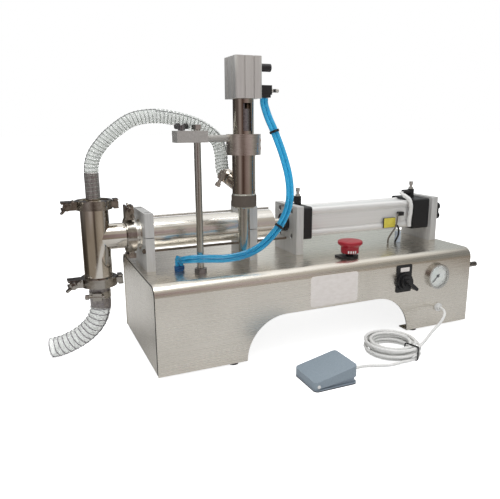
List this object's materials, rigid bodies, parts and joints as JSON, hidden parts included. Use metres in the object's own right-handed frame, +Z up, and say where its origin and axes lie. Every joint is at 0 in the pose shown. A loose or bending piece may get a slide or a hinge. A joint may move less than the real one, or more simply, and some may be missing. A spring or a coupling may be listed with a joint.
{
  "type": "bottle filling machine",
  "caption": "Bench-top pneumatic piston filler: a sheet-steel cabinet carries a material cylinder, air cylinder, valve tee, swinging nozzle on a post, controls and a corded foot switch.",
  "frame": {"origin": "centre of the machine's footprint without its cord, at table height", "axes": "+X from the valve tee along the cylinders to the handwheel, +Y from the control panel to the back, +Z up"},
  "size_m": [0.7313, 0.347, 0.435],
  "materials": {
    "stainless_sheet": "satin",
    "polished_steel": "polished",
    "milled_aluminium": "milled",
    "screw_steel": "satin",
    "black_plastic": "satin",
    "red_plastic": "gloss",
    "blue_tube": "gloss",
    "clear_hose": "clear",
    "gasket": "matte",
    "black_rubber": "matte",
    "gauge_steel": "polished",
    "clear_glass": "clear",
    "needle_black": "matte",
    "brass": "polished",
    "white_cord": "satin",
    "pedal_grey": "satin",
    "pedal_dark": "matte"
  },
  "bodies": {
    "base": {"base_housing": "stainless_sheet", "end_plates": "stainless_sheet", "rubber_feet": "black_rubber", "saddles": "milled_aluminium", "material_cylinder": "polished_steel", "tie_rods": "screw_steel", "middle_plate": "milled_aluminium", "rear_plate": "milled_aluminium", "cylinder_caps": "black_plastic", "air_barrel": "milled_aluminium", "frame_screws": "screw_steel", "flow_controls": "black_plastic", "reed_switches": "black_plastic", "valve_block": "black_plastic", "tee_body": "polished_steel", "hose_barbs": "polished_steel", "clamp_gaskets": "gasket", "pipe_clamps": "polished_steel", "hose_clamps": "polished_steel", "return_springs": "screw_steel", "outlet_hose": "clear_hose", "suction_hose": "clear_hose", "air_tubes": "blue_tube", "tube_port": "blue_tube", "estop_base": "black_plastic", "selector_plate": "black_plastic", "gauge_case": "gauge_steel", "gauge_glass": "clear_glass", "cord_grommet": "white_cord", "air_nipple": "brass", "pedal_base": "pedal_dark", "cord_run": "white_cord", "cord_coil": "white_cord", "cord_tail": "white_cord", "cord_tie": "black_plastic"},
    "piston": {"piston_rod": "polished_steel", "pistons": "black_rubber"},
    "inlet_poppet": {"inlet_valve": "polished_steel"},
    "outlet_poppet": {"outlet_valve": "polished_steel"},
    "post": {"stand_post": "polished_steel"},
    "arm": {"nozzle_arm": "milled_aluminium", "nozzle_clamps": "polished_steel", "nozzle_body": "polished_steel", "nozzle_tip": "polished_steel", "nozzle_cylinder": "milled_aluminium", "nozzle_fittings": "black_plastic"},
    "arm_knob": {"arm_screw": "screw_steel"},
    "plunger": {"nozzle_plunger": "screw_steel"},
    "estop_pusher": {"estop_stem": "black_plastic"},
    "estop_mushroom": {"estop_head": "red_plastic"},
    "selector_knob": {"selector_lever": "black_plastic"},
    "gauge_pointer": {"gauge_needle": "needle_black"},
    "pedal": {"treadle": "pedal_grey"},
    "wing_top": {"wing_nut_top": "polished_steel"},
    "wing_side": {"wing_nut_side": "polished_steel"},
    "wing_bottom": {"wing_nut_bottom": "polished_steel"},
    "stop": {"stop_screw": "screw_steel"},
    "wheel": {"handwheel": "black_plastic"},
    "needle_front": {"flow_screw_front": "screw_steel"},
    "needle_rear": {"flow_screw_rear": "screw_steel"}
  },
  "joints": [
    {"name": "piston_stroke", "type": "slide", "parent": "base", "child": "piston", "axis": [1, 0, 0], "range_m": [0, 0.12]},
    {"name": "inlet_lift", "type": "slide", "parent": "base", "child": "inlet_poppet", "axis": [0, 0, 1], "range_m": [0, 0.005], "stiffness_N_per_m": 200, "springref_m": -0.006, "deforming": ["return_springs"]},
    {"name": "outlet_lift", "type": "slide", "parent": "base", "child": "outlet_poppet", "axis": [0, 0, 1], "range_m": [0, 0.005], "stiffness_N_per_m": 200, "springref_m": -0.006, "deforming": ["return_springs"]},
    {"name": "stand_swivel", "type": "hinge", "parent": "base", "child": "post", "pos_m": [-0.165, -0.0055, 0.134], "axis": [0, 0, 1], "range_deg": [-80, 8], "deforming": ["outlet_hose", "air_tubes"]},
    {"name": "arm_height", "type": "slide", "parent": "post", "child": "arm", "axis": [0, 0, 1], "range_m": [-0.012, 0.0015], "deforming": ["outlet_hose", "air_tubes"]},
    {"name": "arm_screw_turn", "type": "hinge", "parent": "arm", "child": "arm_knob", "pos_m": [-0.187, -0.0055, 0.336], "axis": [0, 0, 1], "continuous": true},
    {"name": "nozzle_open", "type": "slide", "parent": "arm", "child": "plunger", "axis": [0, 0, 1], "range_m": [0, 0.012]},
    {"name": "estop_push", "type": "slide", "parent": "base", "child": "estop_pusher", "axis": [0, 0, -1], "range_m": [0, 0.004]},
    {"name": "estop_twist", "type": "hinge", "parent": "estop_pusher", "child": "estop_mushroom", "pos_m": [0.085, -0.0175, 0.143], "axis": [0, 0, -1], "range_deg": [0, 45], "stiffness_Nm_per_rad": 0.06},
    {"name": "selector_turn", "type": "hinge", "parent": "base", "child": "selector_knob", "pos_m": [0.167, -0.0605, 0.092], "axis": [0, -1, 0], "range_deg": [0, 90]},
    {"name": "gauge_reading", "type": "hinge", "parent": "base", "child": "gauge_pointer", "pos_m": [0.2375, -0.0565, 0.093], "axis": [0, 1, 0], "range_deg": [0, 270], "stiffness_Nm_per_rad": 0.0005, "springref_deg": -11.46},
    {"name": "pedal_press", "type": "hinge", "parent": "base", "child": "pedal", "pos_m": [-0.061, -0.1445, 0.008], "axis": [0, 1, 0], "range_deg": [0, 6], "stiffness_Nm_per_rad": 4, "springref_deg": -8.59, "deforming": ["return_springs"]},
    {"name": "wing_nut_top_turn", "type": "hinge", "parent": "base", "child": "wing_top", "pos_m": [-0.339, 0.0515, 0.233], "axis": [0, -1, 0], "continuous": true},
    {"name": "wing_nut_side_turn", "type": "hinge", "parent": "base", "child": "wing_side", "pos_m": [-0.252, 0.0515, 0.222], "axis": [0, -1, 0], "continuous": true},
    {"name": "wing_nut_bottom_turn", "type": "hinge", "parent": "base", "child": "wing_bottom", "pos_m": [-0.339, 0.0515, 0.119], "axis": [0, -1, 0], "continuous": true},
    {"name": "stop_screw_travel", "type": "slide", "parent": "base", "child": "stop", "axis": [1, 0, 0], "range_m": [0, 0.015]},
    {"name": "handwheel_turn", "type": "hinge", "parent": "stop", "child": "wheel", "pos_m": [0.314, 0.0655, 0.184], "axis": [1, 0, 0], "range_deg": [0, 1801]},
    {"name": "front_needle_turn", "type": "hinge", "parent": "base", "child": "needle_front", "pos_m": [0.033, 0.0655, 0.22], "axis": [0, 0, 1], "continuous": true},
    {"name": "rear_needle_turn", "type": "hinge", "parent": "base", "child": "needle_rear", "pos_m": [0.272, 0.0655, 0.22], "axis": [0, 0, 1], "continuous": true}
  ],
  "couplings": [
    {"joint": "handwheel_turn", "follows": "stop_screw_travel", "rad_per_m": 2094.4}
  ]
}
